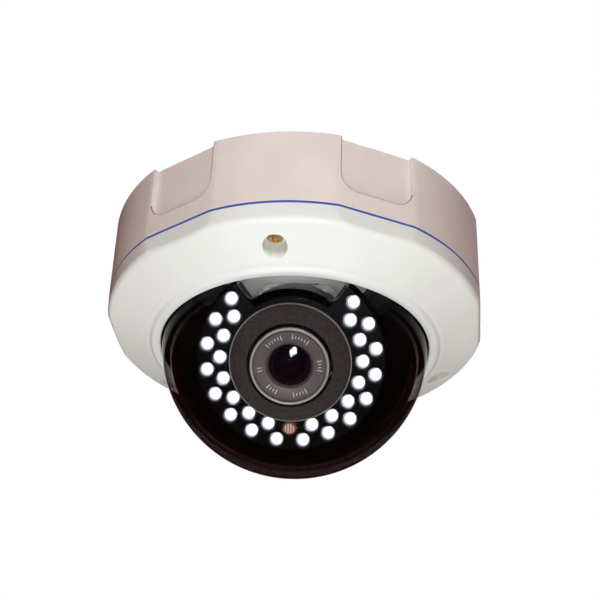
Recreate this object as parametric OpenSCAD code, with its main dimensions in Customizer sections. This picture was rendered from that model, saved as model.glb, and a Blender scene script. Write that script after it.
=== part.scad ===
// Ceiling-mounted vandal-resistant dome camera with an infrared ring, dome down.
// Millimetres. Origin: centre of the ceiling mounting face. +Z points up into
// the ceiling, -Y is the front, where one of the three cover screws sits.

/* [Body] */
// Outer diameter of the base and the cover
body_d = 145; // [141:0.5:150]
// Distance across the six flats
across_flats = 142; // [139:0.5:142]
// Height of the cast base, from the ceiling to the seam
base_h = 31; // [29:0.5:34]
// Thickness of the base's back plate
back_t = 3.5; // [3:0.1:5]
// Inside diameter of the base and of the upper part of the cover
cavity_d = 132; // [126:0.5:134]
// Width of the recessed pad on each flat
pad_w = 28; // [20:0.5:28]
// Height of the recessed pad, from the ceiling downward
pad_h = 23.4; // [16:0.1:26]
// Depth of the recessed pad below the flat
pad_depth = 1.9; // [0.6:0.1:2]
// Radius of the pad's two lower corners
pad_corner = 7; // [3:0.5:9]
// Thickness of the blue seam gasket
gasket_t = 0.8; // [0.4:0.1:1.2]

/* [Cover] */
// Height of the cover's upright band below the seam
band_h = 6.9; // [5:0.1:8]
// Radius at the lower end of the sloped face
slope_r = 60; // [59:0.5:61]
// Drop of the sloped face
slope_h = 6.2; // [5:0.1:7]
// Outer radius of the raised lip around the dome
lip_r = 55.6; // [55:0.1:57]
// Opening in the cover, radius
opening_r = 51.2; // [51.1:0.1:52]
// Distance of the lip's lowest point from the ceiling
lip_z = 48.5; // [48:0.1:49.5]

/* [Cover screws] */
// Distance of the three cover screws from the centre
cover_screw_r = 62.5; // [61.5:0.1:63]
// Diameter of the deep counterbore around each screw head
pocket_d = 8.6; // [8:0.1:9.5]
// Diameter of the screw head
screw_head_d = 5.8; // [5.4:0.1:7.2]

/* [Dome] */
// Outer radius of the bubble
dome_r = 50.8; // [50:0.1:50.9]
// Wall thickness of the bubble
dome_t = 2.8; // [2:0.1:3]
// Distance of the bubble's centre from the ceiling
dome_z = 45.7; // [45:0.1:46]

/* [Mounting] */
// Distance of the four ceiling screw holes from the centre
mount_r = 54; // [52:0.5:56]
// Diameter of the ceiling screw holes
mount_hole_d = 5; // [4:0.1:5.5]
// Radius of the side conduit hole
conduit_r = 8.5; // [6:0.1:9]

/* [Gimbal] */
// Distance of the tilt axis from the ceiling
pivot_z = 43; // [42:0.1:44]
// Pan angle at rest, toward +X from the front
pan_rest = 3.7; // [-10:0.1:10]
// Tilt angle at rest, below the ceiling plane
tilt_rest = 46.7; // [30:0.1:60]
// Image rotation at rest
roll_rest = -1.8; // [-5:0.1:5]
// Running clearance of pins and rings, on the radius
run_gap = 0.08; // [0.05:0.01:0.1]

/* [Infrared ring] */
// Outer radius of the LED mask
mask_r = 34.9; // [34:0.1:35.2]
// Distance of the mask's face from the tilt axis
mask_d = 28.5; // [28:0.1:29]
// Circle radius of the inner row of LEDs
led_row1_r = 26.1; // [25.8:0.1:26.4]
// Circle radius of the outer row of LEDs
led_row2_r = 31.2; // [31:0.1:31.3]
// Diameter of one LED
led_d = 5; // [4.8:0.1:5]
// Diameter of the holes in the mask
led_hole_d = 5.9; // [5.6:0.1:6]
// Angle between neighbouring LEDs of one row
led_pitch = 18; // [18:18]
// Radius of the top cut-out in the mask
cutout_r = 26; // [25.6:0.1:27.5]
// Outer radius of the rubber light shield
shield_r = 22.25; // [22:0.05:22.4]
// Hole radius of the rubber light shield
shield_hole_r = 15.6; // [15.5:0.05:15.8]

/* [Lens] */
// Outer radius of the lens's front rim
rim_r = 14.35; // [14:0.05:14.4]
// Distance of the lens rim from the tilt axis
rim_d = 37.4; // [36:0.1:38]
// Radius of the front glass
glass_r = 7.7; // [7:0.1:8]
// Outer radius of the zoom and focus rings
ring_r = 16.2; // [15.8:0.1:16.5]

/* [Hidden] */
$fn = 96;

body_r = body_d / 2;
flat_r = across_flats / 2;
cavity_r = cavity_d / 2;
pocket_floor_z = base_h + gasket_t + band_h;     // where the screw heads sit
cover_top = base_h + gasket_t;
boss_r = 5.6;
screw_angles = [-90, 30, 150];
ledge_z = 41.8;          // underside ledge that carries the dome gasket
flange_r = 56.4;         // dome flange
spigot_r = 32.9;         // bearing the pan ring turns on
led_tip = mask_d + 1.7;
board_d0 = mask_d - 8.7; // back of the LED board, along the lens axis
row1_angles = [for (i = [-7:7]) if (i != 0) i * led_pitch];
row2_angles = [for (i = [-8:7]) (i + 0.5) * led_pitch];

// ---- helpers -------------------------------------------------------------

// Cylinder between two heights below the ceiling plane.
module drum(z_top, z_bottom, r) {
    translate([0, 0, -z_bottom]) cylinder(h = z_bottom - z_top, r = r);
}

// Ring between two heights below the ceiling plane.
module hoop(z_top, z_bottom, r_out, r_in) {
    difference() {
        drum(z_top, z_bottom, r_out);
        drum(z_top - 1, z_bottom + 1, r_in);
    }
}

// Six flats on a round body, as one prism.
module hexagon(z_top, z_bottom, apothem) {
    translate([0, 0, -z_bottom]) rotate([0, 0, 30])
        cylinder(h = z_bottom - z_top, r = apothem / cos(30), $fn = 6);
}

module polar(r, angle) {
    rotate([0, 0, angle]) translate([r, 0, 0]) children();
}

// Frame of the tilting parts: +Z runs out of the lens, +Y is the picture's top.
module at_gimbal(roll = true) {
    translate([0, 0, -pivot_z]) rotate([0, 0, pan_rest])
        rotate([90 + tilt_rest, 0, 0]) rotate([0, 0, roll ? roll_rest : 0]) children();
}

// Cylinder and ring along the lens axis.
module rod(d0, d1, r) {
    translate([0, 0, d0]) cylinder(h = d1 - d0, r = r);
}
module sleeve(d0, d1, r_out, r_in) {
    difference() {
        rod(d0, d1, r_out);
        rod(d0 - 1, d1 + 1, r_in);
    }
}

// Pan head screw pointing up: head below the given height.
module pan_screw(z, head_r, head_h, shank_r, shank_h) {
    difference() {
        union() {
            drum(z, z + head_h, head_r);
            drum(z - shank_h, z + 0.01, shank_r);
        }
        translate([0, 0, -z - head_h - 0.01]) {
            translate([-head_r * 0.6, -0.25, 0]) cube([head_r * 1.2, 0.5, head_h * 0.5]);
            translate([-0.25, -head_r * 0.6, 0]) cube([0.5, head_r * 1.2, head_h * 0.5]);
        }
    }
}

// ---- base ----------------------------------------------------------------

// Cup cast in aluminium: round with six flats, a pad sunk into each flat.
module base_housing() {
    color("#efe6e0") difference() {
        union() {
            difference() {
                intersection() {
                    drum(0, base_h, body_r);
                    hexagon(-1, base_h + 1, flat_r);
                }
                drum(back_t, base_h + 1, cavity_r);
                for (i = [0:5]) rotate([0, 0, 60 * i]) base_pad();
                base_back_pockets();
            }
            // posts for the cover screws
            for (a = screw_angles) polar(cover_screw_r, a) drum(back_t - 0.5, base_h, boss_r);
            // pads around the ceiling screws
            for (i = [0:3]) polar(mount_r, 45 + 90 * i) drum(1, back_t + 2.5, 6.5);
            // bearing for the pan ring and the step it rests on
            hoop(back_t - 0.5, 10.8, spigot_r, 29);
            hoop(back_t - 0.5, 7.2, 37, 29);
            // posts for the main board
            for (a = [-90, -20, 200]) polar(23, a) drum(back_t - 0.5, 6.5, 2.6);
            // thickened wall around the conduit hole
            intersection() {
                drum(back_t - 0.5, base_h - 3, cavity_r + 1);
                translate([-12, 61.5, -base_h + 3]) cube([24, 8, base_h - 3 - back_t + 0.5]);
            }
        }
        for (a = screw_angles) polar(cover_screw_r, a) drum(15, base_h + 1, 1.7);
        for (i = [0:3]) polar(mount_r, 45 + 90 * i) {
            drum(-1, back_t + 4, mount_hole_d / 2);
            drum(back_t + 1.5, back_t + 4, 4.6);
        }
        for (a = [-90, -20, 200]) polar(23, a) drum(2, 8, 1.1);
        for (a = [0, 120, 240]) polar(31, a) drum(6, 12, 0.9);
        translate([0, 14, 0]) drum(-1, back_t + 1, 7);
        translate([0, 55, -15.5]) rotate([-90, 0, 0]) cylinder(h = 20, r = conduit_r);
        translate([0, 71, -15.5]) rotate([-90, 0, 0]) cylinder(h = 4, r = 11.6);
    }
}

// One pad, cut into the flat that faces +X; its two lower corners are round.
module base_pad() {
    translate([flat_r - pad_depth, 0, 0]) {
        translate([0, -pad_w / 2, -pad_h + pad_corner]) cube([5, pad_w, pad_h]);
        translate([0, -pad_w / 2 + pad_corner, -pad_h]) cube([5, pad_w - 2 * pad_corner, pad_h]);
        for (s = [-1, 1]) translate([0, s * (pad_w / 2 - pad_corner), -pad_h + pad_corner])
            rotate([0, 90, 0]) cylinder(h = 5, r = pad_corner);
    }
}

// Shallow pockets in the back, which leave a rim, six ribs and the screw pads.
module base_back_pockets() {
    difference() {
        hoop(-1, 1.2, 62, 25);
        for (i = [0:2]) rotate([0, 0, 60 * i]) translate([-70, -1.5, -2]) cube([140, 3, 4]);
        for (i = [0:3]) polar(mount_r, 45 + 90 * i) drum(-2, 2, 7.5);
        for (a = screw_angles) polar(cover_screw_r, a) drum(-2, 2, 8);
    }
}

// Screwed plug in the unused side entry, with a coin slot.
module conduit_plug() {
    color("#e9e1da") translate([0, 0, -15.5]) rotate([-90, 0, 0]) difference() {
        union() {
            translate([0, 0, 60]) cylinder(h = 12, r = conduit_r);
            translate([0, 0, 71]) cylinder(h = 2.4, r = 11.2);
        }
        translate([0, 0, 59]) cylinder(h = 8, r = conduit_r - 2);
        translate([-6.5, -1, 72.2]) cube([13, 2, 3]);
    }
}

// Soft ring that seals the cable hole in the back plate.
module cable_grommet() {
    color("#26262a") translate([0, 14, 0]) difference() {
        union() {
            drum(0, back_t, 7);
            drum(back_t, back_t + 1.2, 8.6);
        }
        drum(-1, back_t + 3, 3.6);
        for (a = [0:60:300]) rotate([0, 0, a]) translate([2.6, -0.3, -back_t - 2]) cube([3, 0.6, back_t + 3]);
    }
}

// Thin blue gasket that follows the outline of the seam.
module seam_gasket() {
    color("#3858b8") difference() {
        intersection() {
            drum(base_h, cover_top, body_r - 0.3);
            hexagon(base_h - 1, cover_top + 1, flat_r - 0.3);
        }
        drum(base_h - 1, cover_top + 1, cavity_r + 0.8);
        for (a = screw_angles) polar(cover_screw_r, a) drum(base_h - 1, cover_top + 1, boss_r + 0.2);
    }
}

// ---- cover and dome ------------------------------------------------------

// Upright band, sloped face, hollow and raised lip, turned as one profile.
module cover_profile() {
    rotate_extrude() polygon([
        [opening_r, -ledge_z], [opening_r, -lip_z + 0.7], [opening_r + 0.8, -lip_z],
        [lip_r - 1.4, -lip_z], [lip_r - 0.2, -lip_z + 0.9], [lip_r, -lip_z + 1.5],
        [lip_r + 0.5, -lip_z + 1.7], [lip_r + 1.6, -46.3], [lip_r + 2.8, -45.5],
        [slope_r, -(cover_top + band_h + slope_h)],
        [body_r - 0.6, -(cover_top + band_h + 0.3)], [body_r, -(cover_top + band_h)],
        [body_r, -cover_top], [cavity_r, -cover_top],
        [cavity_r, -39.2], [flange_r + 0.2, -39.2], [flange_r + 0.2, -ledge_z]
    ]);
}

module cover_ring() {
    color("#f4f2ec") difference() {
        union() {
            intersection() {
                cover_profile();
                hexagon(cover_top - 1, 60, flat_r);
            }
            for (a = screw_angles) polar(cover_screw_r, a) drum(base_h, 39.5, boss_r);
        }
        for (a = screw_angles) polar(cover_screw_r, a) {
            drum(base_h - 1, 50, 2.1);
            drum(pocket_floor_z, 52, pocket_d / 2);
        }
        for (a = [0:60:300]) polar(59.6, a) drum(38, 42.6, 1);
    }
}

// Captive security screws: a brass head with a socket and a pin in it.
module cover_screws() {
    color("#c9a04a") for (a = screw_angles) polar(cover_screw_r, a) {
        difference() {
            union() {
                drum(pocket_floor_z, pocket_floor_z + 1.8, screw_head_d / 2);
                drum(base_h, pocket_floor_z + 0.01, 1.95);
                drum(16.5, base_h + 0.1, 1.7);
            }
            drum(pocket_floor_z + 0.7, pocket_floor_z + 3, 1.7);
        }
        drum(pocket_floor_z + 0.6, pocket_floor_z + 1.5, 0.55);
    }
}

// Smoked bubble: half a sphere, a short neck and a flange, turned as one wall.
module dome_quarter(r) {
    intersection() {
        circle(r = r, $fn = 160);
        translate([0, -60]) square([60, 60]);
    }
}
module dome_bubble() {
    color("#1c1a1e", 0.6) translate([0, 0, -dome_z]) rotate_extrude() difference() {
        union() {
            dome_quarter(dome_r);
            square([dome_r, dome_z - 39.2]);
            translate([0, dome_z - 41]) square([flange_r, 1.8]);
        }
        dome_quarter(dome_r - dome_t);
        square([dome_r - dome_t, 12]);
    }
}

module dome_gasket() {
    color("#141416") hoop(41, ledge_z, flange_r, opening_r);
}

// Steel ring that clamps the flange; it steps around the screw posts.
module dome_retainer() {
    color("#8f9297") difference() {
        hoop(37.6, 39.2, 63.5, 50.6);
        for (a = screw_angles) polar(cover_screw_r, a) drum(36, 41, boss_r + 0.6);
        for (a = [0:60:300]) polar(59.6, a) drum(36, 41, 1.3);
    }
}

module retainer_screws() {
    color("#b9bcc2") for (a = [0:60:300]) polar(59.6, a) difference() {
        union() {
            drum(36.2, 37.6, 2.2);
            drum(37.59, 42, 1);
        }
        translate([-1.4, -0.25, -36.9]) cube([2.8, 0.5, 2]);
        translate([-0.25, -1.4, -36.9]) cube([0.5, 2.8, 2]);
    }
}

// ---- electronics in the base --------------------------------------------

// Power and video board, cut straight beside the cable hole.
module main_board() {
    color("#1f6b3c") difference() {
        intersection() {
            drum(6.5, 8.1, 27);
            translate([-30, -30, -9]) cube([60, 34, 4]);
        }
        for (a = [-90, -20, 200]) polar(23, a) drum(6, 9, 1.1);
    }
}

module main_board_screws() {
    color("#b9bcc2") for (a = [-90, -20, 200]) polar(23, a) pan_screw(8.1, 2.1, 1.3, 1.1, 4.5);
}

// White pin sockets for power, picture and the gimbal's lead.
module cable_sockets() {
    color("#eeeadd") for (p = [[-9, -4, 11], [5, -4, 8], [-3, -14, 14]])
        translate([p[0], p[1], -11.6]) difference() {
            cube([p[2], 5, 3.5]);
            translate([1, 1, -1]) cube([p[2] - 2, 3, 3.6]);
        }
}

// Grey plastic lid over the board, with a slot for the leads.
module board_cover() {
    color("#8c8c8e") difference() {
        union() {
            drum(12.3, 13.3, 29);
            hoop(11, 12.31, 29, 27.4);
        }
        translate([-8, 6, -14]) cube([16, 14, 4]);
    }
}

// Ring that keeps the pan ring on its bearing.
module pan_retainer() {
    color("#77787b") difference() {
        hoop(10.8, 12.3, 36.5, 29);
        for (a = [0, 120, 240]) polar(31, a) drum(10, 13, 0.9);
    }
}

module pan_retainer_screws() {
    color("#b9bcc2") for (a = [0, 120, 240]) polar(31, a) pan_screw(12.3, 1.7, 1, 0.9, 4.2);
}

// ---- pan -----------------------------------------------------------------

// Turntable that runs on the base's bearing.
module pan_ring() {
    color("#6f7073") rotate([0, 0, pan_rest]) difference() {
        hoop(7.5, 10.5, 47, spigot_r + run_gap);
        for (s = [-1, 1], t = [-1, 1]) translate([s * 43.6, t * 4.3, 0]) drum(7, 11, 1);
        for (a = [30:30:150]) for (m = [0, 180]) polar(42, a + m) drum(7, 11, 2.2);
    }
}

// Bent arm: a foot under the turntable, a riser, a slope and the pivot eye.
module arm(side) {
    color("#55565a") rotate([0, 0, pan_rest]) scale([1, 1, 1]) difference() {
        union() {
            translate([0, 7, 0]) rotate([90, 0, 0]) linear_extrude(14) polygon([
                [side * 37.4, -10.5], [side * 47, -10.5], [side * 47, -12.8],
                [side * 40, -12.8], [side * 40, -17], [side * 28.6, -27],
                [side * 28.6, -pivot_z], [side * 26, -pivot_z],
                [side * 26, -25.8], [side * 37.4, -15.8]
            ]);
            translate([side > 0 ? 26 : -28.6, 0, -pivot_z]) rotate([0, 90, 0]) cylinder(h = 2.6, r = 7);
        }
        translate([side * 27.3 - 4, 0, -pivot_z]) rotate([0, 90, 0])
            cylinder(h = 8, r = 2.5 + run_gap);
        for (t = [-1, 1]) translate([side * 43.6, t * 4.3, 0]) drum(10, 14, 1);
    }
}
module left_arm() { arm(-1); }
module right_arm() { arm(1); }

module arm_screws() {
    color("#b9bcc2") rotate([0, 0, pan_rest]) for (s = [-1, 1], t = [-1, 1])
        translate([s * 43.6, t * 4.3, 0]) pan_screw(12.8, 2, 1.2, 1, 5);
}

// ---- tilt ----------------------------------------------------------------

// Ring between the arms, with a threaded cheek on each side.
module cradle() {
    color("#4a4b4f") at_gimbal(false) difference() {
        union() {
            rod(-4, 5, 21.5);
            for (s = [-1, 1]) translate([s > 0 ? 20.3 : -25.6, 0, 0]) rotate([0, 90, 0])
                cylinder(h = 5.3, r = 5);
        }
        rod(-6, 7, 17.3 + run_gap);
        translate([-30, 0, 0]) rotate([0, 90, 0]) cylinder(h = 60, r = 2.5);
    }
}

// Two knurled thumb screws: their plain shanks are the tilt pins.
module tilt_screws() {
    color("#9a9ca1") at_gimbal(false) for (s = [0, 180]) rotate([0, 0, s]) rotate([0, 90, 0]) {
        translate([0, 0, 21.6]) cylinder(h = 7.5, r = 2.5);
        difference() {
            translate([0, 0, 29]) cylinder(h = 4.6, r = 5.4);
            for (a = [0:24:336]) rotate([0, 0, a]) translate([5.5, 0, 30]) cylinder(h = 6, r = 0.45, $fn = 16);
            translate([0, 0, 32.6]) cylinder(h = 2, r = 2.8);
        }
    }
}

// ---- turning camera head -------------------------------------------------

// Sleeve that turns in the cradle; its flange carries the LED posts.
module rotor() {
    color("#2b2b2e") at_gimbal() difference() {
        union() {
            rod(-7, 5.35, 17.3);
            rod(5.3, 7.8, 22.6);
        }
        rod(-8, 9, 15.5);
        for (a = [30, 150, 270]) polar(20.2, a) rod(5, 9, 1.1);
    }
}

// Snap ring that keeps the sleeve in the cradle.
module rotor_clip() {
    color("#a7a9ae") at_gimbal() difference() {
        sleeve(-6.2, -4.4, 19.8, 17.3);
        translate([-1.5, -25, -8]) cube([3, 12, 6]);
    }
}

// Threaded lens socket with a square foot.
module lens_mount() {
    color("#1e1e20") at_gimbal() difference() {
        union() {
            rod(-7.4, 4.5, 15.5);
            intersection() {
                rod(-9, -7.2, 21);
                translate([-17, -17, -10]) cube([34, 34, 5]);
            }
        }
        rod(-10, 6, 12.7);
        for (x = [-1, 1], y = [-1, 1]) translate([13.6 * x, 13.6 * y, 0]) rod(-11, -5, 1);
    }
}

module round_cornered_board(d0, d1, half, r) {
    intersection() {
        rod(d0, d1, r);
        translate([-half, -half, d0 - 1]) cube([2 * half, 2 * half, d1 - d0 + 2]);
    }
}

module sensor_board() {
    color("#1f5f3a") at_gimbal() difference() {
        round_cornered_board(-10.6, -9, 18, 21.5);
        for (x = [-1, 1], y = [-1, 1]) translate([13.6 * x, 13.6 * y, 0]) rod(-12, -8, 1);
    }
}

module image_sensor() {
    color("#3a3550") at_gimbal() {
        translate([-5, -5, -9]) cube([10, 10, 1.1]);
        translate([-3.4, -2.8, -7.95]) cube([6.8, 5.6, 0.4]);
    }
}

// Hexagonal spacers between the two boards, and the screws through the stack.
module board_posts() {
    color("#c8b06a") at_gimbal() for (x = [-1, 1], y = [-1, 1]) translate([13.6 * x, 13.6 * y, 0])
        difference() {
            translate([0, 0, -15.8]) cylinder(h = 5.2, r = 2.4, $fn = 6);
            rod(-17, -9, 1);
        }
}
module sensor_screws() {
    color("#b9bcc2") at_gimbal() for (x = [-1, 1], y = [-1, 1]) translate([13.6 * x, 13.6 * y, 0]) {
        difference() {
            rod(-18.6, -17.4, 1.9);
            translate([-1.2, -0.25, -19]) cube([2.4, 0.5, 1]);
        }
        rod(-17.41, -7.6, 1);
    }
}

module board_header() {
    color("#e6e0cc") at_gimbal() translate([-7, 6.5, -15.8]) cube([14, 4.5, 5.2]);
}

module video_board() {
    color("#1f5f3a") at_gimbal() {
        difference() {
            round_cornered_board(-17.4, -15.8, 18, 21.5);
            for (x = [-1, 1], y = [-1, 1]) translate([13.6 * x, 13.6 * y, 0]) rod(-19, -14, 1);
        }
    }
}

module video_socket() {
    color("#eeeadd") at_gimbal() difference() {
        translate([-6, -4, -20.6]) cube([12, 5, 3.2]);
        translate([-5, -3, -21]) cube([10, 3, 2.6]);
    }
}

// ---- infrared ring -------------------------------------------------------

// Place children at an LED position counted from the bottom of the ring.
module led_at(r, angle) {
    translate([r * sin(angle), -r * cos(angle), 0]) children();
}

module led_posts() {
    color("#c8b06a") at_gimbal() for (a = [30, 150, 270]) polar(20.2, a)
        translate([0, 0, 7.8]) cylinder(h = board_d0 - 7.8, r = 2.2, $fn = 6);
}

// Sector that is open at the top of the mask and of its board.
module top_cut(d0, d1, r_in) {
    difference() {
        translate([0, 0, d0]) linear_extrude(d1 - d0)
            polygon([[0, 0], [60 * sin(35), 60 * cos(35)], [0, 90], [-60 * sin(35), 60 * cos(35)]]);
        rod(d0 - 1, d1 + 1, r_in);
    }
}

module led_board() {
    color("#17171a") at_gimbal() difference() {
        rod(board_d0, board_d0 + 1.6, 33.1);
        rod(board_d0 - 1, board_d0 + 3, 17.8);
        top_cut(board_d0 - 1, board_d0 + 3, cutout_r - 1.7);
    }
}

// Thirty 5 mm lamps: a flanged foot, a round body and a domed tip.
module led_lamps() {
    color("#f6f8ff") at_gimbal() {
        for (a = row1_angles) led_at(led_row1_r, a) lamp();
        for (a = row2_angles) led_at(led_row2_r, a) lamp();
    }
}
module lamp() {
    rod(board_d0 + 1.6, board_d0 + 2.5, led_d / 2 + 0.0);
    rod(board_d0 + 2.4, led_tip - led_d / 2, led_d / 2);
    translate([0, 0, led_tip - led_d / 2]) intersection() {
        sphere(r = led_d / 2, $fn = 48);
        cylinder(h = 5, r = 5);
    }
}

module light_sensor() {
    color("#d08a3c") at_gimbal() led_at(led_row1_r, 0) {
        rod(board_d0 + 1.6, mask_d + 0.3, 2.4);
        rod(mask_d + 0.2, mask_d + 0.7, 2.05);
    }
}

// Black front plate with a skirt, a hole for every lamp, a shelf and a cut-out.
module led_mask() {
    color("#111113") at_gimbal() difference() {
        union() {
            difference() {
                rod(board_d0, mask_d, mask_r);
                rod(board_d0 - 1, mask_d - 1.5, mask_r - 1.4);
            }
            rod(mask_d - 1, mask_d + 0.6, 23.6);
            // inner wall behind the cut-out
            intersection() {
                sleeve(board_d0 + 1.9, mask_d - 0.9, cutout_r, cutout_r - 1.2);
                translate([-17, 15, board_d0]) cube([34, 20, 12]);
            }
        }
        rod(board_d0 - 1, mask_d + 2, 17.2);
        top_cut(board_d0 - 1, mask_d + 1, cutout_r);
        top_cut(mask_d - 0.9, mask_d + 1, 23.6);
        for (a = concat([0], row1_angles)) led_at(led_row1_r, a) rod(mask_d - 3, mask_d + 1, led_hole_d / 2);
        for (a = row2_angles) led_at(led_row2_r, a) rod(board_d0 - 1, mask_d + 1, led_hole_d / 2);
    }
}

// Soft ring around the lens; its face follows a ball centred on the pivot.
module light_shield() {
    color("#2a2a2a") at_gimbal() intersection() {
        sleeve(mask_d + 0.6, 40, shield_r, shield_hole_r);
        sphere(r = sqrt(shield_r * shield_r + 32.3 * 32.3), $fn = 128);
    }
}

// ---- lens ----------------------------------------------------------------

// Fixed tube of the lens, screwed into the mount.
module lens_barrel() {
    color("#232326") at_gimbal() difference() {
        union() {
            rod(-2, 4.6, 12.7);
            rod(4.5, 8.6, 14.8);
            rod(8.5, 20.4, 13);
        }
        rod(-3, 22, 10.5);
    }
}

// Ring that turns on the fixed tube, with finger ribs.
module grip_ring(d0, d1, r_in) {
    difference() {
        sleeve(d0, d1, ring_r, r_in);
        for (a = [0:20:340]) rotate([0, 0, a]) translate([ring_r + 0.25, 0, d0 - 1])
            cylinder(h = d1 - d0 + 2, r = 0.8, $fn = 20);
    }
}

// Knurled lock screw that stands out of a ring, and the hole that it is in.
module lock_screw(d, angle) {
    across_ring(d, angle) {
        translate([0, 0, 14.4]) cylinder(h = 2.2, r = 0.8);
        translate([0, 0, 16.4]) cylinder(h = 3, r = 1.5);
    }
}
module lock_hole(d, angle) { across_ring(d, angle) translate([0, 0, 12]) cylinder(h = 6, r = 0.8 + run_gap); }
module across_ring(d, angle) { polar(0, angle) translate([0, 0, d]) rotate([0, 90, 0]) children(); }

module zoom_ring() {
    color("#303034") at_gimbal() difference() {
        grip_ring(9, 13.4, 13 + run_gap);
        lock_hole(11.2, 90);
    }
}
module zoom_lock() { color("#b9bcc2") at_gimbal() lock_screw(11.2, 90); }

// Focus ring and the front barrel that it carries.
module focus_ring() {
    color("#303034") at_gimbal() difference() {
        union() {
            grip_ring(13.9, 18.6, 13 + run_gap);
            rod(18.5, rim_d - 1.4, rim_r);
        }
        rod(13, 20.9, 13 + run_gap);
        rod(20.8, rim_d, 12.4);
        lock_hole(16.3, -30);
    }
}
module focus_lock() { color("#b9bcc2") at_gimbal() lock_screw(16.3, -30); }

// Bright rim, groove and sloped grey face around the front glass.
module lens_rim() {
    color("#6b6b6e") at_gimbal() rotate_extrude() polygon([
        [glass_r, 33.5], [glass_r + 0.1, 35.4], [glass_r + 0.8, rim_d - 1.1],
        [rim_r - 1.5, rim_d - 0.7], [rim_r - 1.4, rim_d - 1.2], [rim_r - 1.05, rim_d - 1.2],
        [rim_r - 0.95, rim_d - 0.2], [rim_r - 0.6, rim_d], [rim_r - 0.2, rim_d],
        [rim_r, rim_d - 0.3], [rim_r, rim_d - 1.4], [12.4, rim_d - 1.4], [12.4, 33.5]
    ]);
}

// Convex front element.
module front_glass() {
    color("#20202c", 0.7) at_gimbal() intersection() {
        rod(33.5, 40, glass_r);
        translate([0, 0, rim_d - 1.0 - 15]) sphere(r = 15.6, $fn = 96);
    }
}

base_housing();
conduit_plug();
cable_grommet();
seam_gasket();
cover_ring();
cover_screws();
dome_bubble();
dome_gasket();
dome_retainer();
retainer_screws();
main_board();
main_board_screws();
cable_sockets();
board_cover();
pan_retainer();
pan_retainer_screws();
pan_ring();
left_arm();
right_arm();
arm_screws();
cradle();
tilt_screws();
rotor();
rotor_clip();
lens_mount();
sensor_board();
image_sensor();
sensor_screws();
board_posts();
board_header();
video_board();
video_socket();
led_posts();
led_board();
led_lamps();
light_sensor();
led_mask();
light_shield();
lens_barrel();
zoom_ring();
zoom_lock();
focus_ring();
focus_lock();
lens_rim();
front_glass();
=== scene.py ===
from math import cos, pi, radians, sin, sqrt

import bpy
import bmesh
from mathutils import Matrix, Vector


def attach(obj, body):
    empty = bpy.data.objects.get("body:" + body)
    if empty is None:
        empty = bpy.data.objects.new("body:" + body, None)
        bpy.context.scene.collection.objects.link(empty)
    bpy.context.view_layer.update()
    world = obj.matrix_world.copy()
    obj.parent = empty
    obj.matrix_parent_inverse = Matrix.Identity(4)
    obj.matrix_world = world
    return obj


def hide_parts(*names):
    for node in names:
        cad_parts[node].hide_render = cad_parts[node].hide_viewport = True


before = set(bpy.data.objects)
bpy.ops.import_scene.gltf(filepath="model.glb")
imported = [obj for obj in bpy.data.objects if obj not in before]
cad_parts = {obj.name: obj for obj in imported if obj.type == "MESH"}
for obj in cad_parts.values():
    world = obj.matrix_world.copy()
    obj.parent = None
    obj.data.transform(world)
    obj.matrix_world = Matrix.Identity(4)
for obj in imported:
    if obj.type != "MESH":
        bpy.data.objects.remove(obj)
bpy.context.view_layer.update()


# ---- Studio ---------------------------------------------------------------
# The camera hangs from a ceiling and is looked up at from below, with a flash
# close to the viewer. Large soft panels light the sides and the back.

mm = 0.001
bpy.ops.object.select_all(action="DESELECT")
bpy.ops.object.camera_add(
    location=(0.0585, -0.4446, -0.3185), rotation=(radians(123.25), radians(-1.65), radians(6.24)))
bpy.context.object.data.lens = 82
bpy.context.object.data.sensor_width = 36
bpy.context.object.data.clip_start = 0.01
bpy.context.scene.camera = bpy.context.object

for name, watts, size, place, aim, spread, shines in (
    ("glint", 1.3, 0.05, (0.047, -0.418, -0.347), (0, 0, -0.05), 180, True),
    ("flash tube", 0.55, 0.07, (0.052, -0.425, -0.335), (0, 0, -0.05), 180, False),
    ("flash", 0.80, 0.10, (0.061, -0.42, 0.04), (0, 0, -0.03), 180, False),
    ("low fill", 5.2, 1.0, (-0.03, -0.08, -0.85), (0, 0, -0.05), 180, False),
    ("front fill", 0.55, 1.2, (0.3, -1.2, -0.1), (0, 0, -0.05), 180, False),
    ("inner card", 0.011, 0.03, (0.0, -0.029, -0.034), (0, 0.012, -0.013), 95, False),
    ("back panel", 8.0, 0.6, (0.35, 0.75, 0.35), (0, 0, -0.03), 180, False),
    ("ceiling panel", 8.0, 0.7, (-0.25, 0.6, 0.8), (0, 0, -0.03), 180, False),
):
    bpy.ops.object.light_add(type="AREA", location=place)
    light = bpy.context.object
    light.name = name
    light.data.shape = "DISK"
    light.data.energy = watts
    light.data.size = size
    light.visible_camera = False
    light.data.spread = radians(spread)
    light.visible_glossy = shines
    light.visible_diffuse = not shines
    light.rotation_euler = (Vector(aim) - Vector(place)).to_track_quat("-Z", "Y").to_euler()

# A white surround for the view, and a dim warm room that lights and is mirrored.
world = bpy.data.worlds.new("pale room")
bpy.context.scene.world = world
world.use_nodes = True
sky = world.node_tree
sky.nodes.clear()


def glow(*colour):
    """A plain background of one colour."""
    background = sky.nodes.new("ShaderNodeBackground")
    background.inputs["Color"].default_value = (*colour, 1)
    return background.outputs[0]


def either(tree, factor, off, on):
    """One of two shaders, as a factor of 0 or 1 says."""
    switch = tree.nodes.new("ShaderNodeMixShader")
    for socket, feed in zip(switch.inputs, (factor, off, on)):
        tree.links.new(feed, socket)
    return switch.outputs[0]


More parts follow.
